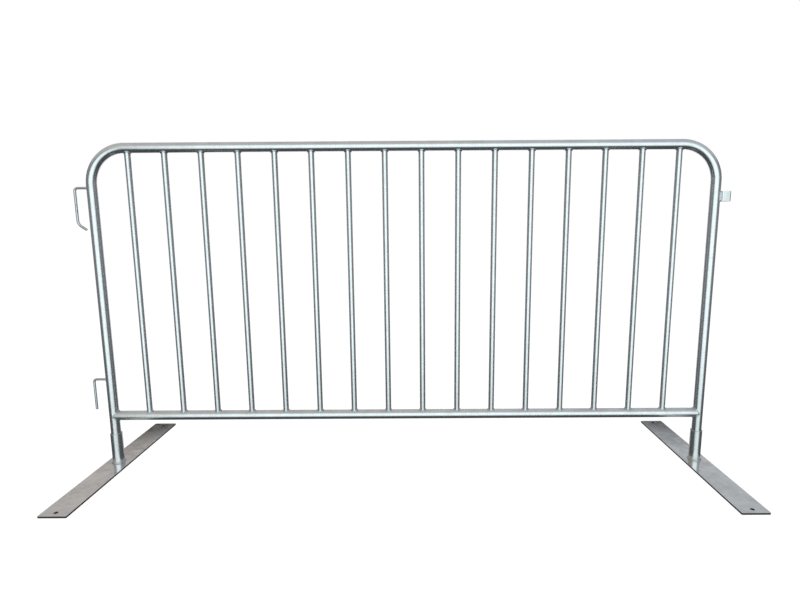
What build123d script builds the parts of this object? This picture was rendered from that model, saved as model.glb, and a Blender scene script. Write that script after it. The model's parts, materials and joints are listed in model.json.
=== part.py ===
"""Crowd control barrier with two flat detachable feet.

One round tube is bent into a hoop that makes both legs and the top rail. A straight bottom rail and a row of
thin upright tubes are welded into it. Two rod hooks on the left leg drop into the square receiver on the right
leg of the next barrier. Each leg stands loose in a socket tube that is welded to a flat foot plate, so a foot
swivels about its leg and slides off it.

Frame: X runs along the barrier with the hooks at -X, Y runs along the feet, +Z is up. The origin is on the
ground, midway between the legs.
"""

from build123d import *
import os

# ---------------------------------------------------------------- driving dimensions, in millimetres
overall_height = 1100.0
leg_spacing = 2040.0  # between the centre lines of the two legs
frame_tube_diameter = 32.0
frame_tube_wall = 2.0
corner_radius = 118.0  # centre line of the bent corners

bottom_rail_height = 177.0  # centre line above the ground
bottom_rail_diameter = 32.0
bottom_rail_wall = 1.5

upright_count = 16
upright_diameter = 19.0
upright_wall = 1.2

foot_length = 700.0
foot_width = 85.0
foot_thickness = 6.0
foot_corner_radius = 3.0
anchor_hole_diameter = 12.0
anchor_hole_inset = 20.0  # from the plate's end to the hole's centre

socket_clearance = 0.5  # radial, between the leg and its socket
socket_wall = 2.5
socket_height = 107.0

hook_rod_diameter = 8.0
hook_bend_radius = 10.0  # centre line of the corner under the arm
upper_hook_height = 957.5  # centre line of its arm
upper_hook_reach = 57.5  # from the leg's centre line to the drop's centre line
upper_hook_drop = 117.5  # from the arm down to where the tail turns in
upper_hook_tail = 33.0
upper_hook_tail_angle = 56.0  # from the drop, towards the leg
upper_hook_tail_bend_radius = 25.0
lower_hook_height = 308.5
lower_hook_reach = 58.5
lower_hook_drop = 107.5

receiver_size = 30.0  # outside of the square tube
receiver_wall = 3.0
receiver_corner_radius = 5.0  # outside
receiver_height = 33.0
receiver_centre_height = 917.5

tube_weld_leg = 3.0  # leg length of the beads between tubes
hook_weld_leg = 2.5
socket_weld_leg = 3.5
receiver_weld_inner_gap = 0.3  # gap between leg and receiver where its bead starts
receiver_weld_outer_gap = 2.4  # and where it ends

# ---------------------------------------------------------------- places that follow from them
frame_tube_radius = frame_tube_diameter / 2
upright_radius = upright_diameter / 2
leg_x = leg_spacing / 2
top_rail_z = overall_height - frame_tube_radius
plate_top_z = foot_thickness
socket_bore_radius = frame_tube_radius + socket_clearance
socket_radius = socket_bore_radius + socket_wall
upright_gap = (leg_spacing - frame_tube_diameter - upright_count * upright_diameter) / (upright_count + 1)
upright_pitch = upright_gap + upright_diameter
first_upright_x = -leg_x + frame_tube_radius + upright_gap + upright_radius

bottom_centred = (Align.CENTER, Align.CENTER, Align.MIN)


# ---------------------------------------------------------------- building blocks
def rod_between(radius, start, end):
    """A solid cylinder from one point to another."""
    run = Vector(*end) - Vector(*start)
    return Plane(origin=start, z_dir=run) * Cylinder(radius, run.length, align=bottom_centred)


def swept_rod(radius, path):
    """A solid round bar along a path."""
    return sweep(Plane(origin=path @ 0, z_dir=path % 0) * Circle(radius), path=path)


def group(shapes):
    """Several separate solids as one compound."""
    return Compound([solid for shape in shapes for solid in shape.solids()])


def tube_weld(carrier_radius, carrier_start, carrier_end, branch_radius, branch_start, branch_end, leg, *cutters):
    """The bead around a branch tube that butts against a carrier tube."""
    around_carrier = rod_between(carrier_radius + leg, carrier_start, carrier_end)
    around_branch = rod_between(branch_radius + leg, branch_start, branch_end)
    bead = around_carrier & around_branch
    for cutter in cutters:
        bead -= cutter
    return bead


# ---------------------------------------------------------------- frame
def hoop_path():
    """Centre line of the bent tube, from the foot of the left leg to the foot of the right leg."""
    return FilletPolyline(
        (-leg_x, 0, plate_top_z),
        (-leg_x, 0, top_rail_z),
        (leg_x, 0, top_rail_z),
        (leg_x, 0, plate_top_z),
        radius=corner_radius,
    )


def frame_hoop(envelope):
    return envelope - swept_rod(frame_tube_radius - frame_tube_wall, hoop_path())


def rail_points():
    """Ends of the bottom rail's centre line, on the centre lines of the legs."""
    return (-leg_x, 0, bottom_rail_height), (leg_x, 0, bottom_rail_height)


def rail_envelope():
    return rod_between(bottom_rail_diameter / 2, *rail_points()) - leg_envelopes()


def leg_envelopes():
    """Solid stand-ins for the straight legs, used to shape what is welded to them."""
    straight_top = top_rail_z - corner_radius
    legs = [rod_between(frame_tube_radius, (x, 0, plate_top_z), (x, 0, straight_top)) for x in (-leg_x, leg_x)]
    return legs[0] + legs[1]


def bottom_rail(envelope):
    bore = rod_between(bottom_rail_diameter / 2 - bottom_rail_wall, *rail_points())
    return envelope - bore


def upright_positions():
    return [first_upright_x + i * upright_pitch for i in range(upright_count)]


def upright(x, hoop, rail):
    """One upright tube, coped to the top rail and the bottom rail."""
    low, high = (x, 0, bottom_rail_height), (x, 0, top_rail_z)
    tube = rod_between(upright_radius, low, high) - rod_between(upright_radius - upright_wall, low, high)
    coped = tube - hoop - rail
    return coped


def upright_welds(z, carrier_radius, away, hoop, rail):
    """The beads at one end of every upright. away is the direction from the rail into the upright, +1 or -1."""
    beads = []
    reach = carrier_radius + 2 * tube_weld_leg
    for x in upright_positions():
        half = upright_diameter
        beads.append(
            tube_weld(
                carrier_radius,
                (x - half, 0, z),
                (x + half, 0, z),
                upright_radius,
                (x, 0, z),
                (x, 0, z + away * reach),
                tube_weld_leg,
                rod_between(upright_radius, (x, 0, z), (x, 0, z + away * reach)),
                hoop,
                rail,
            )
        )
    return group(beads)


def rail_end_welds():
    """The beads where the bottom rail meets the legs."""
    beads = []
    half = frame_tube_diameter
    for side in (-1, 1):
        inner = side * (leg_x - frame_tube_radius - 2 * tube_weld_leg)
        rail_run = (side * leg_x, 0, bottom_rail_height), (inner, 0, bottom_rail_height)
        beads.append(
            tube_weld(
                frame_tube_radius,
                (side * leg_x, 0, bottom_rail_height - half),
                (side * leg_x, 0, bottom_rail_height + half),
                bottom_rail_diameter / 2,
                *rail_run,
                tube_weld_leg,
                rod_between(bottom_rail_diameter / 2, *rail_run),
                leg_envelopes(),
            )
        )
    return group(beads)


# ---------------------------------------------------------------- hooks and receiver
def upper_hook_path():
    drop_x = -leg_x - upper_hook_reach
    turn = Vector(drop_x, 0, upper_hook_height - upper_hook_drop)
    tail = Vector(0, 0, -upper_hook_tail).rotate(Axis.Y, -upper_hook_tail_angle)
    return FilletPolyline(
        (-leg_x, 0, upper_hook_height),
        (drop_x, 0, upper_hook_height),
        turn,
        turn + tail,
        radius=[hook_bend_radius, upper_hook_tail_bend_radius],
    )


def lower_hook_path():
    drop_x = -leg_x - lower_hook_reach
    return FilletPolyline(
        (-leg_x, 0, lower_hook_height),
        (drop_x, 0, lower_hook_height),
        (drop_x, 0, lower_hook_height - lower_hook_drop),
        radius=hook_bend_radius,
    )


def hook(path):
    """A bent rod, coped to the left leg."""
    return swept_rod(hook_rod_diameter / 2, path) - leg_envelopes()


def hook_welds():
    """The beads where the two hook arms meet the left leg."""
    beads = []
    half = 2 * hook_rod_diameter
    for z in (upper_hook_height, lower_hook_height):
        arm = (-leg_x, 0, z), (-leg_x - frame_tube_radius - 2 * hook_weld_leg, 0, z)
        beads.append(
            tube_weld(
                frame_tube_radius,
                (-leg_x, 0, z - half),
                (-leg_x, 0, z + half),
                hook_rod_diameter / 2,
                *arm,
                hook_weld_leg,
                rod_between(hook_rod_diameter / 2, *arm),
                leg_envelopes(),
            )
        )
    return group(beads)


def hook_receiver():
    """A short slice of square tube, open above and below, with one wall against the right leg."""
    centre_x = leg_x + frame_tube_radius + receiver_size / 2
    bottom = Plane(origin=(centre_x, 0, receiver_centre_height - receiver_height / 2))
    inside = receiver_size - 2 * receiver_wall
    inside_radius = receiver_corner_radius - receiver_wall
    ring = RectangleRounded(receiver_size, receiver_size, receiver_corner_radius) - RectangleRounded(
        inside, inside, inside_radius
    )
    return extrude(bottom * ring, amount=receiver_height)


def weld_reach(gap):
    """How far from the leg's crown, across the receiver's wall, the leg has fallen away by this gap."""
    return (frame_tube_radius**2 - (frame_tube_radius - gap) ** 2) ** 0.5


def receiver_welds():
    """The two upright beads in the grooves between the round leg and the receiver's flat wall."""
    wall_x = leg_x + frame_tube_radius
    near, far = weld_reach(receiver_weld_inner_gap), weld_reach(receiver_weld_outer_gap)
    depth = receiver_weld_outer_gap + 1
    beads = []
    for side in (-1, 1):
        block = Box(depth, far - near, receiver_height)
        block = Pos(wall_x - depth / 2, side * (near + far) / 2, receiver_centre_height) * block
        beads.append(block - leg_envelopes())
    return group(beads)


# ---------------------------------------------------------------- feet
def foot_plate(x):
    """A flat bar that lies across the barrier, with an anchor hole near each end."""
    outline = RectangleRounded(foot_width, foot_length, foot_corner_radius)
    hole_y = foot_length / 2 - anchor_hole_inset
    for y in (-hole_y, hole_y):
        outline -= Pos(0, y) * Circle(anchor_hole_diameter / 2)
    return Pos(x, 0, 0) * extrude(outline, amount=foot_thickness)


def foot_socket(x):
    """The tube that the leg stands in."""
    ring = Circle(socket_radius) - Circle(socket_bore_radius)
    return extrude(Plane(origin=(x, 0, plate_top_z)) * ring, amount=socket_height)


def socket_weld(x):
    """The bead around the foot of the socket."""
    section = Polyline(
        (socket_radius, 0),
        (socket_radius + socket_weld_leg, 0),
        (socket_radius, socket_weld_leg),
        close=True,
    )
    bead = revolve(Plane.XZ * make_face(section), axis=Axis.Z)
    return Pos(x, 0, plate_top_z) * bead


# ---------------------------------------------------------------- all nodes
def build():
    """Every node of the barrier, by name."""
    hoop = swept_rod(frame_tube_radius, hoop_path())
    rail = rail_envelope()
    nodes = {"frame_hoop": frame_hoop(hoop), "bottom_rail": bottom_rail(rail)}
    for number, x in enumerate(upright_positions(), start=1):
        nodes[f"upright_{number:02d}"] = upright(x, hoop, rail)
    nodes["upright_top_welds"] = upright_welds(top_rail_z, frame_tube_radius, -1, hoop, rail)
    nodes["upright_bottom_welds"] = upright_welds(bottom_rail_height, bottom_rail_diameter / 2, 1, hoop, rail)
    nodes["rail_end_welds"] = rail_end_welds()
    nodes["upper_hook"] = hook(upper_hook_path())
    nodes["lower_hook"] = hook(lower_hook_path())
    nodes["hook_welds"] = hook_welds()
    nodes["hook_receiver"] = hook_receiver()
    nodes["receiver_welds"] = receiver_welds()
    for name, x in (("left", -leg_x), ("right", leg_x)):
        nodes[f"{name}_foot_plate"] = foot_plate(x)
        nodes[f"{name}_foot_socket"] = foot_socket(x)
        nodes[f"{name}_socket_weld"] = socket_weld(x)
    return nodes


os.makedirs("parts", exist_ok=True)
for node_name, node_shape in build().items():
    export_step(node_shape, f"parts/{node_name}.step")
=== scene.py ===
"""Looks of a crowd control barrier: a bent hoop of zinc tube, sixteen bars, two rod hooks and loose feet.

Sizes are in metres. X runs along the barrier with the hooks at -X, Y runs along the feet and +Z is up.
"""

import json
import logging
import math
import random
from collections.abc import Callable, Iterator
from contextlib import contextmanager
from dataclasses import dataclass, replace
from enum import Enum
from functools import reduce

import bmesh
import bpy
from mathutils import Matrix, Vector


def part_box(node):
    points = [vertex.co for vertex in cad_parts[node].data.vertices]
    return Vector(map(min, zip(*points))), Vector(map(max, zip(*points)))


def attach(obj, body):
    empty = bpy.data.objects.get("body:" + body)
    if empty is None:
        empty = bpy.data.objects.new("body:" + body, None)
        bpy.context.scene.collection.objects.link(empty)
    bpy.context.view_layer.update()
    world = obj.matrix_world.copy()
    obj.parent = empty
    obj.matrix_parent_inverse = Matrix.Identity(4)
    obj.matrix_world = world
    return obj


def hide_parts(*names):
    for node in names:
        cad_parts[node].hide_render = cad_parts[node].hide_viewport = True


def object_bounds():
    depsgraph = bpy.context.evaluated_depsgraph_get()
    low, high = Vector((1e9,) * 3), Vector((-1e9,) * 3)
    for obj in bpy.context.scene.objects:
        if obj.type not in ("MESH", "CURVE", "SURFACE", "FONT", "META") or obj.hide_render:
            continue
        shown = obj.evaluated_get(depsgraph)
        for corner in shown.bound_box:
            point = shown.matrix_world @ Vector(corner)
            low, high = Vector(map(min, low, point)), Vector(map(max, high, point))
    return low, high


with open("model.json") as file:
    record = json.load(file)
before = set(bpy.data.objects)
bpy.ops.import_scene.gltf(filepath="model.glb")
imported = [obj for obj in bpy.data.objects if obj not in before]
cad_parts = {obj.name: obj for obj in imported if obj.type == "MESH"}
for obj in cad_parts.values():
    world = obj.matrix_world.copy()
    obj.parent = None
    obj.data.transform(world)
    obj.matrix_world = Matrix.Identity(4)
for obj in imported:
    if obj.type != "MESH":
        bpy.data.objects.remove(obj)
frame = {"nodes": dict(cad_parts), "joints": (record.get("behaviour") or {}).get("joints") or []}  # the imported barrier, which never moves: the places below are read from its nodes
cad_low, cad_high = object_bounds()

log = logging.getLogger("barrier")

Colour = tuple[float, float, float, float]
Span = tuple[float, float]  # where something starts to change, and where it has changed
Socket = bpy.types.NodeSocket
Element = bmesh.types.BMVert | bmesh.types.BMEdge | bmesh.types.BMFace

RUN_ATTRIBUTE = "along_the_run"  # where a tube's points lay before it was bent, for finishes that follow it
VALLEY_ATTRIBUTE = "ripple_valley"  # 1 in the grooves between the ripples of a weld bead, 0 on their crests
X_AXIS, Y_AXIS, Z_AXIS = Vector((1, 0, 0)), Vector((0, 1, 0)), Vector((0, 0, 1))
QUARTER_TURN = math.pi / 2


class Slot(Enum):
    """The record's material slots."""

    TUBE = "zinc_tube"
    ROD = "zinc_rod"
    PLATE = "foot_plate"
    WELD = "weld"


class Side(Enum):
    """The two ends of the barrier, by the sign of X."""

    LEFT = -1
    RIGHT = 1

    @property
    def word(self) -> str:
        """The side's name as the nodes and bodies use it."""
        return self.name.lower()


# ---- routes
@dataclass(frozen=True)
class Straight:
    """A straight stretch of a tube or rod."""

    length: float


@dataclass(frozen=True)
class Bend:
    """A bent stretch. A positive angle turns right, seen from the front of the barrier."""

    radius: float
    angle: float
    steps: int


def turned(heading: Vector, angle: float) -> Vector:
    """The heading after a turn in the plane of the barrier."""
    return Matrix.Rotation(angle, 3, "Y") @ heading


@dataclass(frozen=True)
class Stretch:
    """One stretch where it lies: its start, its heading there and how much of the run comes before it."""

    shape: Straight | Bend
    start: Vector
    heading: Vector
    before: float

    @property
    def length(self) -> float:
        """Length along the centre line."""
        if isinstance(self.shape, Straight):
            return self.shape.length
        return self.shape.radius * abs(self.shape.angle)

    @property
    def right(self) -> Vector:
        """The direction to the right of the heading."""
        return turned(self.heading, QUARTER_TURN)

    @property
    def centre(self) -> Vector:
        """The centre that a bend turns about."""
        return self.start + self.right * math.copysign(self.shape.radius, self.shape.angle)

    @property
    def end(self) -> Vector:
        """Where the stretch ends."""
        if isinstance(self.shape, Straight):
            return self.start + self.heading * self.shape.length
        return self.centre + turned(self.start - self.centre, self.shape.angle)

    @property
    def end_heading(self) -> Vector:
        """The heading where the stretch ends."""
        if isinstance(self.shape, Straight):
            return self.heading
        return turned(self.heading, self.shape.angle)

    def straightened(self, point: Vector) -> tuple[float, Vector]:
        """Where a point of the tube would lie if the whole run were straight.

        Args:
            point: a point on the tube's wall.

        Returns:
            How far the point lies past the nearer end of this stretch, and its place: across twice, along.
        """
        if isinstance(self.shape, Straight):
            along = (point - self.start).dot(self.heading)
            across = (point - self.start).dot(self.right)
        else:
            spoke = point - self.centre
            first_spoke = (self.start - self.centre).normalized()
            swing = math.atan2(spoke.dot(self.heading), spoke.dot(first_spoke))
            along = swing * self.shape.radius
            inward = self.shape.radius - math.hypot(spoke.x, spoke.z)
            across = math.copysign(inward, inward * self.shape.angle)
        past = max(-along, along - self.length, 0.0)
        return past, Vector((across, point.y, self.before + along))


@dataclass(frozen=True)
class Route:
    """The centre line of a tube or rod that is bent in the plane of the barrier."""

    start: Vector
    heading: Vector
    shapes: tuple[Straight | Bend, ...]

    def stretches(self) -> list[Stretch]:
        """Every stretch where it lies, in order."""
        found = []
        start, heading, before = self.start, self.heading, 0.0
        for shape in self.shapes:
            stretch = Stretch(shape, start, heading, before)
            found.append(stretch)
            start, heading, before = stretch.end, stretch.end_heading, before + stretch.length
        return found


# ---- modelling
class Workpiece:
    """A mesh on the bench, shaped by the operators that a modeller uses by hand."""

    def __init__(self, name: str) -> None:
        """Take up the primitive that was just added, and put its place into its mesh."""
        bpy.ops.object.transform_apply(location=True, rotation=True, scale=True)
        self.thing = bpy.context.object
        self.thing.name = name
        self.thing.data.name = name

    @classmethod
    def circle(
        cls, name: str, radius: float, place: Vector, facing: Vector, sides: int, filled: bool = False
    ) -> "Workpiece":
        """Start from a circle.

        Args:
            name: the piece's name.
            radius: the circle's radius.
            place: its centre.
            facing: the direction that it faces.
            sides: how many sides it has.
            filled: whether it has a face.

        Returns:
            The new workpiece.
        """
        clear_selection()
        bpy.ops.mesh.primitive_circle_add(
            vertices=sides,
            radius=radius,
            fill_type="NGON" if filled else "NOTHING",
            location=place,
            rotation=facing.to_track_quat("Z", "Y").to_euler(),
        )
        return cls(name)

    @classmethod
    def block(cls, name: str, low: Vector, high: Vector) -> "Workpiece":
        """Start from a block between two corners."""
        clear_selection()
        bpy.ops.mesh.primitive_cube_add(size=1, location=(low + high) / 2, scale=high - low)
        return cls(name)

    @classmethod
    def torus(cls, name: str, radius: float, thickness: float, rings: int, sides: int) -> "Workpiece":
        """Start from a ring of round section about +Z at the origin."""
        clear_selection()
        bpy.ops.mesh.primitive_torus_add(
            major_radius=radius, minor_radius=thickness, major_segments=rings, minor_segments=sides
        )
        return cls(name)

    def take_up(self) -> None:
        """Make this the only selected object and the active one."""
        clear_selection()
        self.thing.select_set(True)
        bpy.context.view_layer.objects.active = self.thing

    @contextmanager
    def editing(self, mode: str = "VERT") -> Iterator[None]:
        """Work in edit mode, selecting points, edges or faces."""
        self.take_up()
        bpy.ops.object.mode_set(mode="EDIT")
        bpy.ops.mesh.select_mode(type=mode)
        yield
        bpy.ops.object.mode_set(mode="OBJECT")

    def pick(self, layer: str, wanted: Callable[[Element], bool]) -> None:
        """Select only the wanted elements of the mesh in edit mode.

        Args:
            layer: the kind of element, which is verts, edges or faces.
            wanted: the test that an element passes.
        """
        bpy.ops.mesh.select_all(action="DESELECT")
        shell = bmesh.from_edit_mesh(self.thing.data)
        for element in getattr(shell, layer):
            if wanted(element):
                element.select_set(True)
        bmesh.update_edit_mesh(self.thing.data)

    def follow(self, route: Route) -> None:
        """Draw the selected ring along a route, by extruding its straights and spinning its bends."""
        for stretch in route.stretches():
            if isinstance(stretch.shape, Straight):
                step = stretch.heading * stretch.shape.length
                bpy.ops.mesh.extrude_region_move(TRANSFORM_OT_translate={"value": step})
            else:
                bpy.ops.mesh.spin(
                    steps=stretch.shape.steps,
                    angle=-stretch.shape.angle,  # the operator turns the other way about its axis
                    center=stretch.centre,
                    axis=Y_AXIS,
                    use_auto_merge=False,
                )

    def face_outwards(self) -> None:
        """Merge what coincides and turn every face outwards."""
        with self.editing():
            bpy.ops.mesh.select_all(action="SELECT")
            bpy.ops.mesh.remove_doubles(threshold=1e-6)
            bpy.ops.mesh.normals_make_consistent(inside=False)

    def apply(self, kind: str, **settings: object) -> None:
        """Add a modifier with these settings and apply it."""
        self.take_up()
        modifier = self.thing.modifiers.new(kind.title(), kind)
        for setting, value in settings.items():
            setattr(modifier, setting, value)
        bpy.ops.object.modifier_apply(modifier=modifier.name)

    def give_wall(self, thickness: float) -> None:
        """Turn an open skin into a wall that grows inwards."""
        self.apply("SOLIDIFY", thickness=thickness, offset=-1, use_even_offset=True)

    def ease_edges(self, width: float, segments: int = 2, sharper_than: float = 50) -> None:
        """Round every edge that turns by more than an angle in degrees."""
        self.apply(
            "BEVEL",
            width=width,
            segments=segments,
            limit_method="ANGLE",
            angle_limit=math.radians(sharper_than),
            harden_normals=False,
        )

    def cut_away(self, tool: "Workpiece") -> None:
        """Cut the tool's shape out of this piece and throw the tool away."""
        self.apply("BOOLEAN", operation="DIFFERENCE", solver="EXACT", object=tool.thing)
        tool.discard()

    def discard(self) -> None:
        """Throw this piece away with its mesh."""
        spent = self.thing.data
        bpy.data.objects.remove(self.thing)
        bpy.data.meshes.remove(spent)

    def smooth(self, sharper_than: float = 40) -> None:
        """Shade smooth, but keep edges that turn by more than an angle in degrees."""
        self.take_up()
        bpy.ops.object.shade_smooth_by_angle(angle=math.radians(sharper_than))
        self.apply("WEIGHTED_NORMAL", keep_sharp=True)

    def note_run(self, route: Route, offset: float = 0) -> None:
        """Note where each point would lie if the tube were straight, for finishes that follow the tube.

        Args:
            route: the tube's centre line.
            offset: added along the run, so that equal tubes don't carry equal marks.
        """
        mesh = self.thing.data
        stretches = route.stretches()
        noted = mesh.attributes.new(RUN_ATTRIBUTE, "FLOAT_VECTOR", "POINT")
        for point in mesh.vertices:
            found = (stretch.straightened(point.co) for stretch in stretches)
            _, place = min(found, key=lambda candidate: candidate[0])
            noted.data[point.index].vector = place + Vector((0, 0, offset))

    def hand_over(
        self, finishes: "Finishes", slot: Slot, *nodes: str, body: str = "panel", run: bool = True
    ) -> None:
        """Dress the finished piece and let it ride in place of its CAD nodes.

        Args:
            finishes: the barrier's materials.
            slot: the record's material slot, which settles its material.
            *nodes: the CAD nodes that it stands for.
            body: the CAD body that it moves with.
            run: whether it has a run that its marks can follow, if its material has such marks.
        """
        self.thing.data.materials.clear()
        self.thing.data.materials.append(finishes[slot] if run else finishes.section)
        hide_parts(*nodes)
        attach(self.thing, body)
        log.info("%s: %d faces, rides on %s", self.thing.name, len(self.thing.data.polygons), body)


def clear_selection() -> None:
    """Deselect everything, because an operator acts on all that is selected."""
    for thing in bpy.context.selected_objects:
        thing.select_set(False)


def copied(master: Workpiece, name: str, move: Matrix) -> Workpiece:
    """A copy of a workpiece with a mesh of its own, moved by a matrix.

    Args:
        master: what is copied.
        name: the copy's name.
        move: where its mesh goes.

    Returns:
        The copy.
    """
    master.take_up()
    bpy.ops.object.duplicate(linked=False)
    bpy.context.object.matrix_world = move
    return Workpiece(name)


def joined(name: str, parts: list[Workpiece]) -> Workpiece:
    """Several workpieces as one object."""
    clear_selection()
    for part in parts:
        part.thing.select_set(True)
    bpy.context.view_layer.objects.active = parts[0].thing
    bpy.ops.object.join()
    return Workpiece(name)


def placed(place: Vector, up: Vector, along: Vector) -> Matrix:
    """The matrix that takes +Z to up and +X to along, at a place."""
    across = up.cross(along)
    turn = Matrix((along, across, up)).transposed()
    return Matrix.Translation(place) @ turn.to_4x4()


def hollow_tube(name: str, route: Route, radius: float, wall: float, sides: int, rim: float) -> Workpiece:
    """A bent tube with open ends.

    Args:
        name: the piece's name.
        route: its centre line.
        radius: outside radius.
        wall: wall thickness.
        sides: how many sides its section has.
        rim: how far its rims are eased.

    Returns:
        The tube, not yet smoothed.
    """
    tube = Workpiece.circle(name, radius, route.start, route.heading, sides)
    with tube.editing():
        bpy.ops.mesh.select_all(action="SELECT")
        tube.follow(route)
    tube.face_outwards()
    tube.give_wall(wall)
    tube.ease_edges(rim)
    return tube


def solid_rod(name: str, route: Route, radius: float, sides: int, tip: float = 0) -> Workpiece:
    """A bent solid rod.

    Args:
        name: the piece's name.
        route: its centre line.
        radius: the rod's radius.
        sides: how many sides its section has.
        tip: how far its far end is rounded.

    Returns:
        The rod, not yet smoothed.
    """
    rod = Workpiece.circle(name, radius, route.start, route.heading, sides, filled=True)
    end = route.stretches()[-1].end
    with rod.editing("FACE"):
        bpy.ops.mesh.select_all(action="SELECT")
        rod.follow(route)
    rod.face_outwards()
    if tip:
        with rod.editing("EDGE"):
            reach = radius * 1.01  # a little more than the rod's radius, to take in its whole end
            rod.pick("edges", lambda edge: all((point.co - end).length < reach for point in edge.verts))
            bpy.ops.mesh.bevel(offset=tip, segments=4, affect="EDGES")
    return rod


def round_radius(node: str) -> float:
    """Outside radius of a CAD node that is a round tube or rod."""
    low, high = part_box(node)
    return (high.y - low.y) / 2


def middle_x(node: str) -> float:
    """Where the middle of a CAD node lies along the barrier."""
    low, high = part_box(node)
    return (low.x + high.x) / 2


# ---- weld beads
@dataclass(frozen=True)
class Bead:
    """A fillet weld round a tube that stands on another tube or on a flat plate."""

    branch_radius: float
    carrier_radius: float | None  # None where it stands on a plate
    leg: float
    seed: int
    ripple_pitch: float = 0.0024
    ripple_depth: float = 0.10  # as a share of the bead's thickness
    steps_per_ripple: int = 4
    sides: int = 12
    unevenness: float = 0.05
    stand_off: float = 0.34  # of its middle line from both surfaces, as a share of its leg
    section: float = 0.66  # the radius of its section, as a share of its leg
    lowest: float = 0.2  # the lowest middle line, as a share of the highest
    crease: float = 60

    @property
    def radius(self) -> float:
        """Radius of the bead's middle line, seen along the branch."""
        return self.branch_radius + self.stand_off * self.leg

    @property
    def thickness(self) -> float:
        """Radius of the bead's own section."""
        return self.section * self.leg

    @property
    def ripples(self) -> int:
        """How many ripples go round."""
        return round(math.tau * self.radius / self.ripple_pitch)

    def height(self, angle: float) -> float:
        """How far the bead's middle line lies above the carrier's centre line, or above the plate."""
        if self.carrier_radius is None:
            return self.stand_off * self.leg
        reach = self.carrier_radius + self.stand_off * self.leg
        sideways = self.radius * math.sin(angle)
        return math.sqrt(max(reach**2 - sideways**2, (self.lowest * reach) ** 2))

    def model(self, name: str) -> Workpiece:
        """The bead at the origin, round a branch along +Z, on a carrier along X.

        Args:
            name: the piece's name.

        Returns:
            The bead, smoothed.
        """
        chance = random.Random(self.seed)
        rings = self.ripples * self.steps_per_ripple
        bead = Workpiece.torus(name, self.radius, self.thickness, rings, self.sides)
        valleys = []
        swell = 1.0
        with bead.editing():
            for ring in range(rings):
                step = ring % self.steps_per_ripple
                if step == 0:
                    swell = 1 + chance.uniform(-self.unevenness, self.unevenness)
                valley = step / (self.steps_per_ripple - 1)
                valleys.append(valley)
                angle = math.tau * ring / rings
                middle = Vector((math.cos(angle), math.sin(angle), 0)) * self.radius
                first = ring * self.sides
                bead.pick("verts", lambda point: first <= point.index < first + self.sides)
                size = swell * (1 - self.ripple_depth * valley)
                bpy.ops.transform.resize(value=(size, size, size), center_override=middle)
                bpy.ops.transform.translate(value=(0, 0, self.height(angle)))
        noted = bead.thing.data.attributes.new(VALLEY_ATTRIBUTE, "FLOAT", "POINT")
        for point in bead.thing.data.vertices:
            noted.data[point.index].value = valleys[point.index // self.sides]
        bead.smooth(self.crease)
        return bead

    def row(self, name: str, places: list[Matrix]) -> Workpiece:
        """Beads like this one at several places, as one piece."""
        master = self.model("bead")
        beads = [copied(master, name, place) for place in places]
        master.discard()
        return joined(name, beads)


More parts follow.
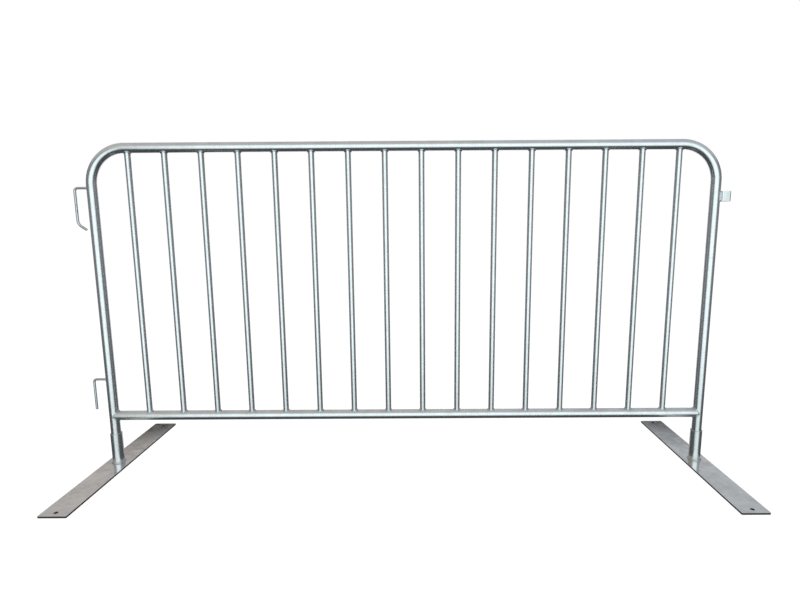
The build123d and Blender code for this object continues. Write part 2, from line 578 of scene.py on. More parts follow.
# ---- node boards
class NodeBoard:
    """A node tree with short calls for adding nodes and wiring them."""

    def __init__(self, tree: bpy.types.NodeTree) -> None:
        """Start on an empty tree."""
        self.tree = tree
        self.tree.nodes.clear()

    @classmethod
    def of_material(cls, name: str) -> tuple["NodeBoard", bpy.types.Material]:
        """A new material and the board for its tree."""
        material = bpy.data.materials.new(name)
        material.use_nodes = True
        return cls(material.node_tree), material

    def add(self, kind: str, inputs: dict | None = None, **settings: object) -> bpy.types.Node:
        """Add a node.

        Args:
            kind: its type.
            inputs: sockets or plain values for its inputs, by name or number.
            **settings: its own settings, which are set first.

        Returns:
            The node.
        """
        node = self.tree.nodes.new(kind)
        for setting, value in settings.items():
            setattr(node, setting, value)
        for key, value in (inputs or {}).items():
            self.feed(node.inputs[key], value)
        return node

    def feed(self, socket: Socket, value: object) -> None:
        """Wire another node's output to a socket, or set the socket to a plain value."""
        if isinstance(value, Socket):
            self.tree.links.new(value, socket)
        else:
            socket.default_value = value

    def maths(self, operation: str, *values: object, kind: str = "Math") -> Socket:
        """One sum on numbers, or on vectors where the kind is VectorMath."""
        return self.add(f"ShaderNode{kind}", dict(enumerate(values)), operation=operation).outputs[0]

    def product(self, *values: object) -> Socket:
        """All the values multiplied together."""
        return reduce(lambda so_far, value: self.maths("MULTIPLY", so_far, value), values)

    def split(self, vector: Socket) -> list[Socket]:
        """The three parts of a vector."""
        return list(self.add("ShaderNodeSeparateXYZ", {0: vector}).outputs)

    def looks_up(self) -> Socket:
        """How far the surface looks up: 1 upwards, 0 sideways and -1 downwards."""
        return self.split(self.add("ShaderNodeNewGeometry").outputs["Normal"])[2]

    def show(self, shader: Socket) -> None:
        """Wire a shader to the material's surface."""
        self.add("ShaderNodeOutputMaterial", {"Surface": shader})

    def remap(self, value: object, start: float, end: float, low: float = 0.0, high: float = 1.0) -> Socket:
        """A value's smooth way from low, where it is at start, to high, where it is at end.

        Args:
            value: the socket that is read.
            start: its value where the result is low.
            end: its value where the result is high.
            low: the result before start.
            high: the result after end.

        Returns:
            The result's socket.
        """
        inputs = {"Value": value, "From Min": start, "From Max": end, "To Min": low, "To Max": high}
        return self.add("ShaderNodeMapRange", inputs, interpolation_type="SMOOTHSTEP").outputs["Result"]

    def fade(self, value: object, span: Span) -> Socket:
        """1 before the span's first value, 0 after its second."""
        return self.remap(value, *span, 1.0, 0.0)

    def blend(self, share: object, first: object, second: object) -> Socket:
        """A mix of two colours."""
        return self.add("ShaderNodeMix", {0: share, 6: first, 7: second}, data_type="RGBA").outputs[2]

    def noise(self, place: object, scale: object, detail: float = 2.0, distortion: float = 0.0) -> Socket:
        """Noise between 0 and 1 at a place."""
        inputs = {"Vector": place, "Scale": scale, "Detail": detail, "Distortion": distortion}
        return self.add("ShaderNodeTexNoise", inputs).outputs[0]

    def use(self, group: bpy.types.NodeTree, **inputs: object) -> Socket:
        """Place a shared group, feed its inputs by name, and give its one output."""
        return self.add("ShaderNodeGroup", inputs, node_tree=group).outputs[0]


def colour(red: float, green: float, blue: float) -> Colour:
    """An opaque colour in linear light."""
    return (red, green, blue, 1.0)


class SharedEffects:
    """Shader groups that several finishes use: each is built once, with named inputs and one output.

    A span names the noise values between which a mark fades in.
    """

    crystals_per_patch: float = 9.0
    bloom_span: Span = (0.28, 0.72)
    scuff_turns: tuple[float, ...] = (0.5, -0.9, 1.6)  # how each set of scratches is turned
    scuff_stretch: float = 0.035
    scuff_span: Span = (0.70, 0.78)
    handled_patches: float = 7.0
    handled_span: Span = (0.42, 0.66)
    dust_facing: Span = (-0.2, 1.0)  # of the normal's upward part
    dust_patches: float = 22.0
    dust_span: Span = (0.35, 0.75)

    def __init__(self) -> None:
        """Build every group."""
        self.grain = self.drawn_grain()
        self.bloom = self.zinc_bloom()
        self.scuffs = self.handling_scuffs()
        self.dust = self.settled_dust()

    @staticmethod
    def _group(name: str, output: str, **inputs: float) -> tuple[NodeBoard, bpy.types.Node, bpy.types.Node]:
        """An empty group with a Place input, number inputs with defaults, and one number output."""
        tree = bpy.data.node_groups.new(name, "ShaderNodeTree")
        tree.interface.new_socket("Place", in_out="INPUT", socket_type="NodeSocketVector")
        for key, default in inputs.items():
            socket = tree.interface.new_socket(key, in_out="INPUT", socket_type="NodeSocketFloat")
            socket.default_value = default
        tree.interface.new_socket(output, in_out="OUTPUT", socket_type="NodeSocketFloat")
        board = NodeBoard(tree)
        return board, board.add("NodeGroupInput"), board.add("NodeGroupOutput")

    def drawn_grain(self) -> bpy.types.NodeTree:
        """Fine streaks along Z, as drawing through a die leaves them."""
        board, given, result = self._group("drawn_grain", "Grain", Fineness=900.0, Stretch=60.0)
        fine = given.outputs["Fineness"]
        along = board.maths("DIVIDE", fine, given.outputs["Stretch"])
        scale = board.add("ShaderNodeCombineXYZ", {0: fine, 1: fine, 2: along}).outputs[0]
        place = board.maths("MULTIPLY", given.outputs["Place"], scale, kind="VectorMath")
        board.feed(result.inputs[0], board.noise(place, 1.0, detail=3.0))
        return board.tree

    def zinc_bloom(self) -> bpy.types.NodeTree:
        """Soft cloudy patches, as zinc shows where it cooled unevenly."""
        board, given, result = self._group("zinc_bloom", "Bloom", Patches=18.0, Cloudiness=0.5)
        place, patches = given.outputs["Place"], given.outputs["Patches"]
        clouds = board.noise(place, patches, detail=3.0, distortion=0.6)
        finer = board.maths("MULTIPLY", patches, self.crystals_per_patch)
        crystals = board.add("ShaderNodeTexVoronoi", {"Vector": place, "Scale": finer}, feature="SMOOTH_F1")
        shade = board.add("ShaderNodeSeparateColor", {0: crystals.outputs["Color"]}).outputs[0]
        inputs = {0: given.outputs["Cloudiness"], 2: shade, 3: clouds}
        mixed = board.add("ShaderNodeMix", inputs, data_type="FLOAT").outputs[0]
        board.feed(result.inputs[0], board.remap(mixed, *self.bloom_span))
        return board.tree

    def handling_scuffs(self) -> bpy.types.NodeTree:
        """Sparse fine scratches, in patches where the barrier was carried and stacked."""
        board, given, result = self._group("handling_scuffs", "Scuff", Density=0.5, Fineness=260.0)
        lines = []
        for turn in self.scuff_turns:
            inputs = {
                "Vector": given.outputs["Place"],
                "Rotation": (turn, 0.7 * turn, turn),
                "Scale": (1, 1, self.scuff_stretch),
            }
            laid = board.add("ShaderNodeMapping", inputs).outputs[0]
            streak = board.noise(laid, given.outputs["Fineness"], detail=1.0, distortion=0.15)
            lines.append(board.remap(streak, *self.scuff_span))
        scratches = board.maths("MAXIMUM", board.maths("MAXIMUM", lines[0], lines[1]), lines[2])
        handled = board.noise(given.outputs["Place"], self.handled_patches)
        patches = board.remap(handled, *self.handled_span)
        board.feed(result.inputs[0], board.product(scratches, patches, given.outputs["Density"]))
        return board.tree

    def settled_dust(self) -> bpy.types.NodeTree:
        """A dull film that lies thicker on faces that look up."""
        board, given, result = self._group("settled_dust", "Dust", Amount=0.3)
        upward = board.remap(board.looks_up(), *self.dust_facing)
        clouds = board.noise(given.outputs["Place"], self.dust_patches, detail=6.0)
        film = board.remap(clouds, *self.dust_span)
        board.feed(result.inputs[0], board.product(upward, film, given.outputs["Amount"]))
        return board.tree


# ---- finishes
@dataclass(frozen=True)
class ZincFinish:
    """Bright zinc over steel. Its marks follow the run of a tube or rod, or lie in plain object space."""

    name: str
    bright: Colour
    dull: Colour
    roughness: float
    follows_run: bool
    patches: float = 14.0
    cloudiness: float = 0.6
    bloom_roughness: float = 0.04
    grain_fineness: float = 1100.0
    grain_stretch: float = 70.0
    grain_shade: float = 0.05
    grain_span: Span = (0.3, 0.75)
    grain_depth: float = 1.5e-6
    peel_depth: float = 2.5e-6
    grain_colour: Colour = colour(0.30, 0.31, 0.32)
    peel_fineness: float = 160.0
    scuff_density: float = 0.5
    scuff_roughness: float = 0.16
    scuff_depth: float = 4e-6
    dust_amount: float = 0.25
    dust_roughness: float = 0.35
    dust_colour: Colour = colour(0.36, 0.345, 0.32)

    def place(self, board: NodeBoard) -> Socket:
        """The coordinates that the marks are laid in."""
        if self.follows_run:
            return board.add("ShaderNodeAttribute", attribute_name=RUN_ATTRIBUTE).outputs["Vector"]
        return board.add("ShaderNodeTexCoord").outputs["Object"]

    def extra_shade(self, board: NodeBoard, tone: Socket) -> Socket:
        """The colour after what only this finish has. Plain zinc has nothing more."""
        return tone

    def extra_roughness(self, board: NodeBoard, roughness: Socket) -> Socket:
        """The roughness after what only this finish has. Plain zinc has nothing more."""
        return roughness

    def material(self, effects: SharedEffects) -> bpy.types.Material:
        """Build the material.

        Args:
            effects: the shared shader groups.

        Returns:
            The finished material.
        """
        board, material = NodeBoard.of_material(self.name)
        place = self.place(board)
        fineness, stretch = self.grain_fineness, self.grain_stretch
        grain = board.use(effects.grain, Place=place, Fineness=fineness, Stretch=stretch)
        bloom = board.use(effects.bloom, Place=place, Patches=self.patches, Cloudiness=self.cloudiness)
        scuff = board.use(effects.scuffs, Place=place, Density=self.scuff_density)
        dust = board.use(effects.dust, Place=place, Amount=self.dust_amount)

        tone = board.blend(bloom, self.bright, self.dull)
        streaked = board.maths("MULTIPLY", board.remap(grain, *self.grain_span), self.grain_shade)
        tone = board.blend(streaked, tone, self.grain_colour)
        tone = board.blend(dust, tone, self.dust_colour)
        tone = self.extra_shade(board, tone)

        rough = board.maths("MULTIPLY_ADD", bloom, self.bloom_roughness, self.roughness)
        rough = board.maths("MULTIPLY_ADD", scuff, self.scuff_roughness, rough)
        rough = board.maths("MULTIPLY_ADD", dust, self.dust_roughness, rough)
        rough = self.extra_roughness(board, rough)

        peel = board.noise(place, self.peel_fineness)
        height = board.maths("MULTIPLY", grain, self.grain_depth)
        height = board.maths("MULTIPLY_ADD", peel, self.peel_depth, height)
        height = board.maths("MULTIPLY_ADD", scuff, -self.scuff_depth, height)
        bump = board.add("ShaderNodeBump", {"Strength": 1.0, "Distance": 1.0, "Height": height}).outputs[0]

        inputs = {"Metallic": 1.0, "Base Color": tone, "Roughness": rough, "Normal": bump}
        board.show(board.add("ShaderNodeBsdfPrincipled", inputs).outputs[0])
        return material


@dataclass(frozen=True)
class PlateFinishWithPaintedEdgeShade(ZincFinish):
    """Zinc on flat bar, whose sheared edges and hole walls are rougher than its face and carry a painted
    shade that stands in for the dark floor they reflect.
    """

    # painted shade: near black on the faces that look sideways, the plate's edges and hole walls
    edge_painted_shade: Colour = colour(0.10, 0.10, 0.105)
    edge_roughness: float = 0.5
    edge_span: Span = (0.9, 0.5)  # of the normal's upright part

    def _edge(self, board: NodeBoard) -> Socket:
        """1 where the surface looks sideways, 0 where it looks up or down."""
        return board.remap(board.maths("ABSOLUTE", board.looks_up()), *self.edge_span)

    def extra_shade(self, board: NodeBoard, tone: Socket) -> Socket:
        """Paint shade onto the sheared edges and hole walls."""
        return board.blend(self._edge(board), tone, self.edge_painted_shade)

    def extra_roughness(self, board: NodeBoard, roughness: Socket) -> Socket:
        """Roughen the sheared edges."""
        return board.maths("MULTIPLY_ADD", self._edge(board), self.edge_roughness, roughness)


@dataclass(frozen=True)
class WeldFinish(ZincFinish):
    """Plated weld metal, with a painted shade in the grooves between its ripples."""

    # painted shade in the grooves between the bead's ripples
    groove_painted_shade: Colour = colour(0.40, 0.41, 0.42)
    groove_share: float = 0.5

    def extra_shade(self, board: NodeBoard, tone: Socket) -> Socket:
        """Paint shade into the grooves."""
        valley = board.add("ShaderNodeAttribute", attribute_name=VALLEY_ATTRIBUTE).outputs["Fac"]
        return board.blend(board.maths("MULTIPLY", valley, self.groove_share), tone, self.groove_painted_shade)


class Finishes:
    """The barrier's materials: one for each slot, and the tube's zinc again for a piece without a run."""

    def __init__(self) -> None:
        """Build the shared effects and the materials that use them."""
        effects = SharedEffects()
        zinc = {
            Slot.TUBE: ZincFinish(
                "bright_zinc_tube",
                colour(0.79, 0.81, 0.82),
                colour(0.74, 0.76, 0.77),
                0.24,
                follows_run=True,
            ),
            Slot.ROD: ZincFinish(
                "dull_zinc_rod", colour(0.66, 0.67, 0.68), colour(0.54, 0.55, 0.56), 0.34, follows_run=True
            ),
            Slot.PLATE: PlateFinishWithPaintedEdgeShade(
                "satin_zinc_plate",
                colour(0.80, 0.795, 0.78),
                colour(0.72, 0.715, 0.705),
                0.075,
                follows_run=False,
                patches=9.0,
                scuff_density=0.8,
                dust_amount=0.12,
            ),
            Slot.WELD: WeldFinish(
                "plated_weld",
                colour(0.82, 0.84, 0.85),
                colour(0.70, 0.72, 0.73),
                0.22,
                follows_run=False,
                patches=90.0,
            ),
        }
        self.by_slot = {slot: finish.material(effects) for slot, finish in zinc.items()}
        section = replace(zinc[Slot.TUBE], name="bright_zinc_section", follows_run=False)
        self.section = section.material(effects)

    def __getitem__(self, slot: Slot) -> bpy.types.Material:
        """The material for a slot."""
        return self.by_slot[slot]


# ---- the frame
@dataclass(frozen=True)
class TubeFrame:
    """The hoop that makes the legs and top rail, the bottom rail, the bars between them and their beads."""

    finishes: Finishes
    tube_wall: float = 0.002
    corner_radius: float = 0.118  # centre line of the bent corners
    corner_steps: int = 36
    rail_wall: float = 0.0015
    bar_wall: float = 0.0012
    tube_sides: int = 64
    bar_sides: int = 48
    cutter_sides: int = 128
    rim: float = 0.0003
    bead_leg: float = 0.003
    rail_marks: float = 5.0  # where the marks start along each tube, so that no two carry the same
    bar_marks: float = 8.0
    bar_marks_step: float = 1.7

    @property
    def tube_radius(self) -> float:
        """Outside radius of the hoop's tube."""
        return round_radius("frame_hoop")

    @property
    def rail_radius(self) -> float:
        """Outside radius of the bottom rail."""
        return round_radius("bottom_rail")

    @property
    def leg_x(self) -> float:
        """How far a leg's centre line is from the middle."""
        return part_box("frame_hoop")[1].x - self.tube_radius

    @property
    def top_z(self) -> float:
        """Height of the top rail's centre line."""
        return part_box("frame_hoop")[1].z - self.tube_radius

    @property
    def rail_z(self) -> float:
        """Height of the bottom rail's centre line."""
        low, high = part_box("bottom_rail")
        return (low.z + high.z) / 2

    @property
    def bar_nodes(self) -> list[str]:
        """The CAD nodes of the bars, from left to right."""
        return sorted(node for node in frame["nodes"] if node[:-2] == "upright_")

    def build(self) -> None:
        """Make every piece of the frame."""
        self.hoop()
        self.rail()
        self.bars()
        self.bar_beads()
        self.rail_end_beads()

    def hoop(self) -> None:
        """Bend the legs and the top rail from one tube."""
        foot_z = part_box("frame_hoop")[0].z
        corner = Bend(self.corner_radius, QUARTER_TURN, self.corner_steps)
        leg = Straight(self.top_z - self.corner_radius - foot_z)
        top = Straight(2 * (self.leg_x - self.corner_radius))
        route = Route(Vector((-self.leg_x, 0, foot_z)), Z_AXIS, (leg, corner, top, corner, leg))
        name = "bent_hoop_tube"
        hoop = hollow_tube(name, route, self.tube_radius, self.tube_wall, self.tube_sides, self.rim)
        hoop.smooth()
        hoop.note_run(route)
        hoop.hand_over(self.finishes, Slot.TUBE, "frame_hoop")

    def rail(self) -> None:
        """Cut the bottom rail to fit between the legs."""
        route = Route(Vector((-self.leg_x, 0, self.rail_z)), X_AXIS, (Straight(2 * self.leg_x),))
        name = "bottom_rail_tube"
        rail = hollow_tube(name, route, self.rail_radius, self.rail_wall, self.tube_sides, self.rim)
        for side in Side:
            rail.cut_away(self.solid_leg(side))
        rail.smooth()
        rail.note_run(route, self.rail_marks)
        rail.hand_over(self.finishes, Slot.TUBE, "bottom_rail")

    def solid_leg(self, side: Side) -> Workpiece:
        """A solid stand-in for a leg where the bottom rail meets it, to cut with."""
        half = 3 * self.rail_radius
        start = Vector((side.value * self.leg_x, 0, self.rail_z - half))
        route = Route(start, Z_AXIS, (Straight(2 * half),))
        return solid_rod("leg_cutter", route, self.tube_radius, self.cutter_sides)

    def bars(self) -> None:
        """Make one bar that fits both rails, then copy it along the barrier."""
        rise = Straight(self.top_z - self.rail_z)
        route = Route(Vector((0, 0, self.rail_z)), Z_AXIS, (rise,))
        radius = round_radius(self.bar_nodes[0])
        master = hollow_tube("bar", route, radius, self.bar_wall, self.bar_sides, self.rim)
        for z, radius in ((self.rail_z, self.rail_radius), (self.top_z, self.tube_radius)):
            along = Route(Vector((-2 * radius, 0, z)), X_AXIS, (Straight(4 * radius),))
            master.cut_away(solid_rod("rail_cutter", along, radius, self.cutter_sides))
        master.smooth()
        for number, node in enumerate(self.bar_nodes, start=1):
            x = middle_x(node)
            bar = copied(master, f"bar_{number:02d}", Matrix.Translation((x, 0, 0)))
            marks = self.bar_marks + self.bar_marks_step * number
            bar.note_run(Route(Vector((x, 0, self.rail_z)), Z_AXIS, (rise,)), marks)
            bar.hand_over(self.finishes, Slot.TUBE, node)
        master.discard()

    def bar_beads(self) -> None:
        """Weld both ends of every bar."""
        bar_radius = round_radius(self.bar_nodes[0])
        ends = (
            ("bar_top_beads", "upright_top_welds", self.top_z, -Z_AXIS, self.tube_radius, 11),
            ("bar_foot_beads", "upright_bottom_welds", self.rail_z, Z_AXIS, self.rail_radius, 12),
        )
        for name, node, z, up, carrier_radius, seed in ends:
            places = []
            for number, bar in enumerate(self.bar_nodes):
                along = X_AXIS if number % 2 else -X_AXIS
                places.append(placed(Vector((middle_x(bar), 0, z)), up, along))
            beads = Bead(bar_radius, carrier_radius, self.bead_leg, seed).row(name, places)
            beads.hand_over(self.finishes, Slot.WELD, node)

    def rail_end_beads(self) -> None:
        """Weld both ends of the bottom rail to the legs."""
        places = []
        for side in Side:
            place = Vector((side.value * self.leg_x, 0, self.rail_z))
            places.append(placed(place, X_AXIS * -side.value, Z_AXIS))
        bead = Bead(self.rail_radius, self.tube_radius, self.bead_leg, seed=13)
        bead.row("rail_end_beads", places).hand_over(self.finishes, Slot.WELD, "rail_end_welds")


# ---- coupling
@dataclass(frozen=True)
class Coupling:
    """The two rod hooks on the left leg, the receiver on the right leg, and their beads."""

    finishes: Finishes
    leg_x: float
    leg_radius: float
    seated: float = 0.0008  # how far the rods reach into the leg's wall
    corner_radius: float = 0.010
    corner_steps: int = 14
    upper_drop: float = 0.1175  # from the arm down to where the tail turns in
    tail: float = 0.033
    tail_angle: float = math.radians(56)
    tail_radius: float = 0.025
    rod_sides: int = 32
    upper_marks: float = 60.0  # where the marks start along each rod, so that no two carry the same
    lower_marks: float = 62.0
    tip: float = 0.0012
    bead_leg: float = 0.0025
    receiver_wall: float = 0.003
    receiver_corner: float = 0.005
    receiver_edge: float = 0.0006
    receiver_bead_inset: float = 0.0006
    receiver_bead_radius: float = 0.0021
    receiver_bead_steps: int = 52
    receiver_bead_sides: int = 14
    receiver_bead_tip: float = 0.55  # girth at its ends, as a share of the full girth
    receiver_bead_taper: int = 3  # steps from its end to the full girth
    receiver_bead_ripple: int = 4  # steps to a ripple
    receiver_bead_depth: float = 0.1  # of a ripple, as a share of the girth
    receiver_bead_unevenness: float = 0.02

    def build(self) -> None:
        """Make every piece of the coupling."""
        self.upper_hook()
        self.lower_hook()
        self.hook_beads()
        self.receiver()
        self.receiver_beads()

    def arm(self, node: str) -> tuple[Vector, Straight]:
        """Where a hook's arm starts, in the leg's wall, and its length up to its bend."""
        low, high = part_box(node)
        radius = round_radius(node)
        start = Vector((-self.leg_x - self.leg_radius + self.seated, 0, high.z - radius))
        return start, Straight(start.x - (low.x + radius) - self.corner_radius)

    def upper_hook(self) -> None:
        """Bend the upper hook, whose tail turns in towards the leg."""
        start, arm = self.arm("upper_hook")
        corner = Bend(self.corner_radius, -QUARTER_TURN, self.corner_steps)
        turn = Bend(self.tail_radius, -self.tail_angle, self.corner_steps)
        taken = self.tail_radius * math.tan(self.tail_angle / 2)
        drop = Straight(self.upper_drop - self.corner_radius - taken)
        route = Route(start, -X_AXIS, (arm, corner, drop, turn, Straight(self.tail - taken)))
        self.finish_hook("upper_hook_rod", "upper_hook", route, self.upper_marks)

    def lower_hook(self) -> None:
        """Bend the lower hook, which drops straight."""
        start, arm = self.arm("lower_hook")
        corner = Bend(self.corner_radius, -QUARTER_TURN, self.corner_steps)
        drop = Straight(start.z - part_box("lower_hook")[0].z - self.corner_radius)
        route = Route(start, -X_AXIS, (arm, corner, drop))
        self.finish_hook("lower_hook_rod", "lower_hook", route, self.lower_marks)

    def finish_hook(self, name: str, node: str, route: Route, offset: float) -> None:
        """Make a hook from its route.

        Args:
            name: the piece's name.
            node: the CAD node that it stands for.
            route: its centre line.
            offset: where its marks start.
        """
        rod = solid_rod(name, route, round_radius(node), self.rod_sides, self.tip)
        rod.smooth()
        rod.note_run(route, offset)
        rod.hand_over(self.finishes, Slot.ROD, node)

    def hook_beads(self) -> None:
        """Weld both hook arms to the left leg."""
        places = []
        for node in ("upper_hook", "lower_hook"):
            place = Vector((-self.leg_x, 0, self.arm(node)[0].z))
            places.append(placed(place, -X_AXIS, Z_AXIS))
        bead = Bead(round_radius("upper_hook"), self.leg_radius, self.bead_leg, seed=21)
        bead.row("hook_beads", places).hand_over(self.finishes, Slot.WELD, "hook_welds")

    def receiver(self) -> None:
        """Make the slice of square tube that the next barrier's hook drops into."""
        low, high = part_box("hook_receiver")
        box = Workpiece.block("receiver_slice", low, high)
        with box.editing("EDGE"):
            corner = self.receiver_corner
            box.pick("edges", lambda edge: abs(edge.verts[0].co.z - edge.verts[1].co.z) > corner)
            bpy.ops.mesh.bevel(offset=corner, segments=8, affect="EDGES")
        with box.editing("FACE"):
            box.pick("faces", lambda face: abs(face.normal.z) > 0.9)
            bpy.ops.mesh.inset(thickness=self.receiver_wall)
            bpy.ops.mesh.bridge_edge_loops()
        box.face_outwards()
        box.ease_edges(self.receiver_edge)
        box.smooth()
        box.hand_over(self.finishes, Slot.TUBE, "hook_receiver", run=False)

    def receiver_beads(self) -> None:
        """Weld the receiver to the right leg with an upright bead in the groove on each side."""
        low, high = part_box("receiver_welds")
        inset, radius = self.receiver_bead_inset, self.receiver_bead_radius
        beads = []
        for seed, y in enumerate((low.y, high.y), start=31):
            inward = -math.copysign(inset, y)
            foot = Vector((high.x - inset, y + inward, low.z + radius))
            beads.append(self.upright_bead(foot, high.z - low.z - 2 * radius, seed))
        pair = joined("receiver_beads", beads)
        pair.hand_over(self.finishes, Slot.WELD, "receiver_welds")

    def upright_bead(self, foot: Vector, length: float, seed: int) -> Workpiece:
        """A straight rippled bead, drawn upwards one ripple step at a time.

        Args:
            foot: its lower end.
            length: its length.
            seed: seeds the unevenness of its ripples.

        Returns:
            The bead, smoothed.
        """
        chance = random.Random(seed)
        steps, sides, tip = self.receiver_bead_steps, self.receiver_bead_sides, self.receiver_bead_tip
        ripple, uneven = self.receiver_bead_ripple, self.receiver_bead_unevenness
        bead = Workpiece.circle("bead", self.receiver_bead_radius * tip, foot, Z_AXIS, sides, filled=True)
        step = length / steps
        girth = tip
        with bead.editing("FACE"):
            bpy.ops.mesh.select_all(action="SELECT")
            for ring in range(1, steps + 1):
                bpy.ops.mesh.extrude_region_move(TRANSFORM_OT_translate={"value": (0, 0, step)})
                ends = min(1.0, tip + (1 - tip) * min(ring, steps - ring) / self.receiver_bead_taper)
                valley = (ring % ripple) / (ripple - 1)
                wanted = ends * (1 - self.receiver_bead_depth * valley + chance.uniform(-uneven, uneven))
                size = wanted / girth
                girth = wanted
                middle = foot + Vector((0, 0, step * ring))
                bpy.ops.transform.resize(value=(size, size, 1), center_override=middle)
        bead.face_outwards()
        noted = bead.thing.data.attributes.new(VALLEY_ATTRIBUTE, "FLOAT", "POINT")
        for point in bead.thing.data.vertices:
            noted.data[point.index].value = (round((point.co.z - foot.z) / step) % ripple) / (ripple - 1)
        bead.smooth(60)
        return bead


# ---- feet
@dataclass(frozen=True)
class Foot:
    """One flat foot: the plate, the socket that a leg stands in, and the bead round its base."""

    finishes: Finishes
    side: Side
    socket_wall: float = 0.0025
    socket_sides: int = 64
    socket_rim: float = 0.0006
    socket_marks: float = 70.0  # where the marks start along the tube
    plate_corner: float = 0.003
    plate_edge: float = 0.0005
    hole_radius: float = 0.006
    hole_inset: float = 0.020  # from the plate's end to the hole's centre
    hole_sides: int = 40
    bead_leg: float = 0.0035
    ripple_pitch: float = 0.003

    @property
    def x(self) -> float:
        """Where the foot's leg stands."""
        return middle_x(f"{self.side.word}_foot_socket")

    def build(self) -> None:
        """Make every piece of the foot."""
        self.plate()
        self.socket()
        self.bead()

    def plate(self) -> None:
        """Cut the plate to length, drill it and ease its edges."""
        node = f"{self.side.word}_foot_plate"
        low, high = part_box(node)
        plate = Workpiece.block(f"{self.side.word}_foot_flat", low, high)
        with plate.editing("EDGE"):
            short = 2 * (high.z - low.z)
            plate.pick("edges", lambda edge: (edge.verts[0].co - edge.verts[1].co).length < short)
            bpy.ops.mesh.bevel(offset=self.plate_corner, segments=5, affect="EDGES")
        for y in (low.y + self.hole_inset, high.y - self.hole_inset):
            start = Vector((self.x, y, low.z - self.hole_radius))
            through = Route(start, Z_AXIS, (Straight(high.z - low.z + 2 * self.hole_radius),))
            plate.cut_away(solid_rod("drill", through, self.hole_radius, self.hole_sides))
        plate.ease_edges(self.plate_edge)
        plate.smooth()
        plate.hand_over(self.finishes, Slot.PLATE, node, body=f"{self.side.word}_plate")

    def socket(self) -> None:
        """Cut the socket tube and ease its rims."""
        node = f"{self.side.word}_foot_socket"
        low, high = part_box(node)
        route = Route(Vector((self.x, 0, low.z)), Z_AXIS, (Straight(high.z - low.z),))
        name = f"{self.side.word}_socket_tube"
        radius = round_radius(node)
        socket = hollow_tube(name, route, radius, self.socket_wall, self.socket_sides, self.socket_rim)
        socket.smooth()
        socket.note_run(route, self.socket_marks + self.side.value)
        socket.hand_over(self.finishes, Slot.TUBE, node, body=f"{self.side.word}_socket")

    def bead(self) -> None:
        """Weld the socket to the plate."""
        node = f"{self.side.word}_socket_weld"
        socket = f"{self.side.word}_foot_socket"
        foot = (self.x, 0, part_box(socket)[0].z)
        seed = 41 + self.side.value
        shape = Bead(round_radius(socket), None, self.bead_leg, seed, ripple_pitch=self.ripple_pitch)
        master = shape.model("bead")
        bead = copied(master, f"{self.side.word}_socket_bead", Matrix.Translation(foot))
        master.discard()
        with bead.editing():
            bpy.ops.mesh.select_all(action="SELECT")
            bpy.ops.mesh.bisect(plane_co=foot, plane_no=Z_AXIS, clear_inner=True, use_fill=True)
        bead.hand_over(self.finishes, Slot.WELD, node, body=f"{self.side.word}_socket")


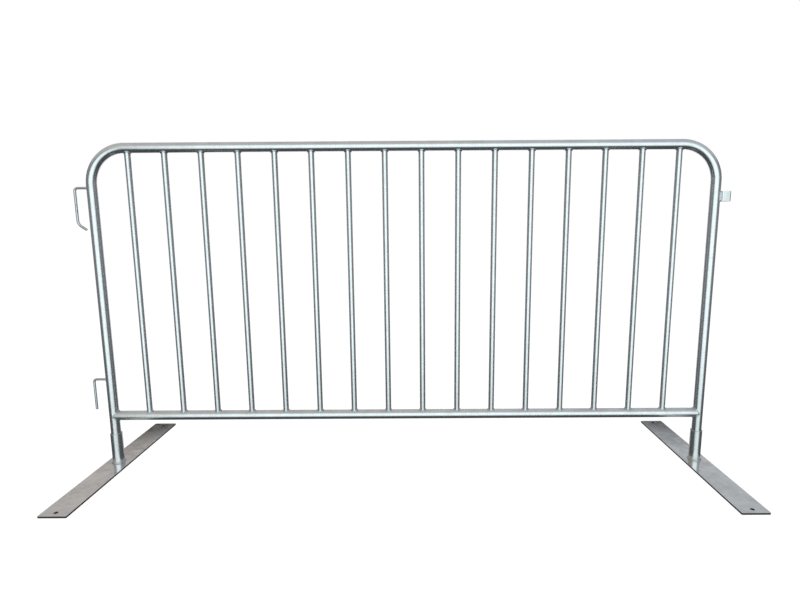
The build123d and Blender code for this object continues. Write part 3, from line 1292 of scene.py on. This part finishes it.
# ---- studio
@dataclass(frozen=True)
class Studio:
    """A plain pale floor, a soft panel in front, a world that is shaded by direction, and the camera.

    Angles are in degrees: the widths from straight behind the barrier, the heights from the horizon.
    """

    eye: Vector = Vector((0.0482, -1.7554, 0.8522))
    eye_pitch: float = 8.87  # downwards
    eye_yaw: float = 0.149
    eye_roll: float = -0.367
    focal_length: float = 23.645  # millimetres, on a sensor 36 millimetres wide
    sensor_width: float = 36.0
    shift: tuple[float, float] = (-0.0218, 0.0006)
    clip: tuple[float, float] = (0.02, 200)

    soft_light: Colour = colour(1.22, 1.36, 1.38)
    soft_light_y: float = -4.0  # a glowing panel in front, which fades out towards its four sides
    soft_light_left: Span = (-2.4, -3.9)  # where it starts to fade, and ends
    soft_light_right: Span = (3.0, 4.8)
    soft_light_top: Span = (2.5, 4.7)
    soft_light_bottom: Span = (-0.3, -3.6)
    roof_light: Colour = colour(0.56, 0.54, 0.525)
    cool_roof_light: Colour = colour(0.54, 0.565, 0.60)  # towards the right
    cool_start: Span = (-0.1, 0.45)  # the part along X of the direction
    roof_start: Span = (21.2, 20.4)
    low_light: Colour = colour(0.22, 0.225, 0.23)  # at the horizon
    ground_light: Colour = colour(0.07, 0.073, 0.077)  # below it
    ground_start: Span = (0.0, -24.0)
    back_shade: Colour = colour(0.015, 0.016, 0.018)
    back_shade_foot: Span = (11.0, 5.0)  # the dark band behind reaches down to here
    back_width: Span = (55.0, 85.0)  # from straight behind
    back_strip: Colour = colour(0.95, 0.97, 1.0)  # low and straight behind
    strip_width: Span = (16.0, 30.0)
    strip_top: Span = (3.0, 9.0)
    strip_bottom: Span = (-30.0, -50.0)
    floor_size: float = 60.0
    floor_shade: Colour = colour(0.30, 0.30, 0.30)
    floor_glow: float = 0.88

    def build(self) -> None:
        """Set up the camera, the light and the floor."""
        self.camera()
        self.world()
        self.floor()
        self.soft_panel()
        bpy.context.scene.view_settings.view_transform = "Standard"
        bpy.context.scene.view_settings.look = "None"

    def camera(self) -> None:
        """Stand the camera in front of the barrier at chest height."""
        lens = bpy.data.cameras.new("eye")
        lens.lens = self.focal_length
        lens.sensor_width = self.sensor_width
        lens.shift_x, lens.shift_y = self.shift
        lens.clip_start, lens.clip_end = self.clip
        eye = bpy.data.objects.new("eye", lens)
        bpy.context.scene.collection.objects.link(eye)
        turn = (
            Matrix.Rotation(math.radians(self.eye_yaw), 4, "Z")
            @ Matrix.Rotation(math.radians(90 - self.eye_pitch), 4, "X")
            @ Matrix.Rotation(math.radians(self.eye_roll), 4, "Z")
        )
        eye.matrix_world = Matrix.Translation(self.eye) @ turn
        bpy.context.scene.camera = eye

    def world(self) -> None:
        """Light the barrier from above, below and behind, and show the camera plain white."""
        world = bpy.data.worlds.new("studio")
        bpy.context.scene.world = world
        world.use_nodes = True
        board = NodeBoard(world.node_tree)
        x, y, z = board.split(board.add("ShaderNodeTexCoord").outputs["Generated"])
        rise = board.maths("ARCSINE", z)
        behind = board.maths("ABSOLUTE", board.maths("ARCTAN2", x, y))

        def fade(value: Socket, span: Span) -> Socket:
            """1 before the span's first angle, 0 after its second."""
            return board.fade(value, (math.radians(span[0]), math.radians(span[1])))

        band = board.product(fade(behind, self.back_width), fade(rise, self.back_shade_foot))
        low = board.blend(fade(rise, self.ground_start), self.ground_light, self.low_light)
        light = board.blend(band, low, self.back_shade)
        roof = board.blend(board.remap(x, *self.cool_start), self.roof_light, self.cool_roof_light)
        light = board.blend(fade(rise, self.roof_start), light, roof)
        spans = (self.strip_width, self.strip_top, self.strip_bottom)
        strip = board.product(*(fade(angle, span) for angle, span in zip((behind, rise, rise), spans)))
        light = board.blend(strip, light, self.back_strip)

        to_camera = board.add("ShaderNodeLightPath").outputs["Is Camera Ray"]
        seen = board.blend(to_camera, light, colour(1, 1, 1))
        sky = board.add("ShaderNodeBackground", {"Color": seen}).outputs[0]
        board.add("ShaderNodeOutputWorld", {"Surface": sky})

    def floor(self) -> None:
        """Lay a pale floor, unseen in the zinc, as low as a foot goes when it slides off its leg."""
        clear_selection()
        travels = [joint["range_m"][1] for joint in frame["joints"] if joint["type"] == "slide"]
        bpy.ops.mesh.primitive_plane_add(size=self.floor_size, location=(0, 0, cad_low.z - max(travels)))
        floor = bpy.context.object
        floor.name = "pale_floor"
        floor.visible_glossy = False
        floor.visible_diffuse = False
        board, material = NodeBoard.of_material("pale_floor")
        matt = board.add("ShaderNodeBsdfDiffuse", {"Color": self.floor_shade}).outputs[0]
        glow = board.add("ShaderNodeEmission", {"Strength": self.floor_glow}).outputs[0]
        board.show(board.add("ShaderNodeAddShader", {0: matt, 1: glow}).outputs[0])
        floor.data.materials.append(material)

    def soft_panel(self) -> None:
        """Stand the soft light in front. The camera doesn't see it, and it casts no shadow."""
        clear_selection()
        left, right = self.soft_light_left[1], self.soft_light_right[1]
        bottom, top = self.soft_light_bottom[1], self.soft_light_top[1]
        middle = ((left + right) / 2, self.soft_light_y, (bottom + top) / 2)
        bpy.ops.mesh.primitive_plane_add(size=1, location=middle, rotation=(math.radians(90), 0, 0))
        bpy.context.object.scale = (right - left, top - bottom, 1)
        panel = Workpiece("soft_panel").thing
        panel.visible_camera = False
        panel.visible_shadow = False
        board, material = NodeBoard.of_material("soft_panel")
        x, _, z = board.split(board.add("ShaderNodeTexCoord").outputs["Object"])
        spans = (self.soft_light_left, self.soft_light_right, self.soft_light_top, self.soft_light_bottom)
        share = board.product(*(board.fade(value, span) for value, span in zip((x, x, z, z), spans)))
        glow = board.add("ShaderNodeEmission", {"Color": self.soft_light}).outputs[0]
        clear = board.add("ShaderNodeBsdfTransparent").outputs[0]
        board.show(board.add("ShaderNodeMixShader", {0: share, 1: clear, 2: glow}).outputs[0])
        panel.data.materials.append(material)


def main() -> None:
    """Build the studio and every sub-assembly of the barrier."""
    logging.basicConfig(level=logging.INFO, format="%(name)s: %(message)s")
    Studio().build()
    finishes = Finishes()
    tubes = TubeFrame(finishes)
    tubes.build()
    Coupling(finishes, tubes.leg_x, tubes.tube_radius).build()
    for side in Side:
        Foot(finishes, side).build()


if __name__ == "__main__":
    main()
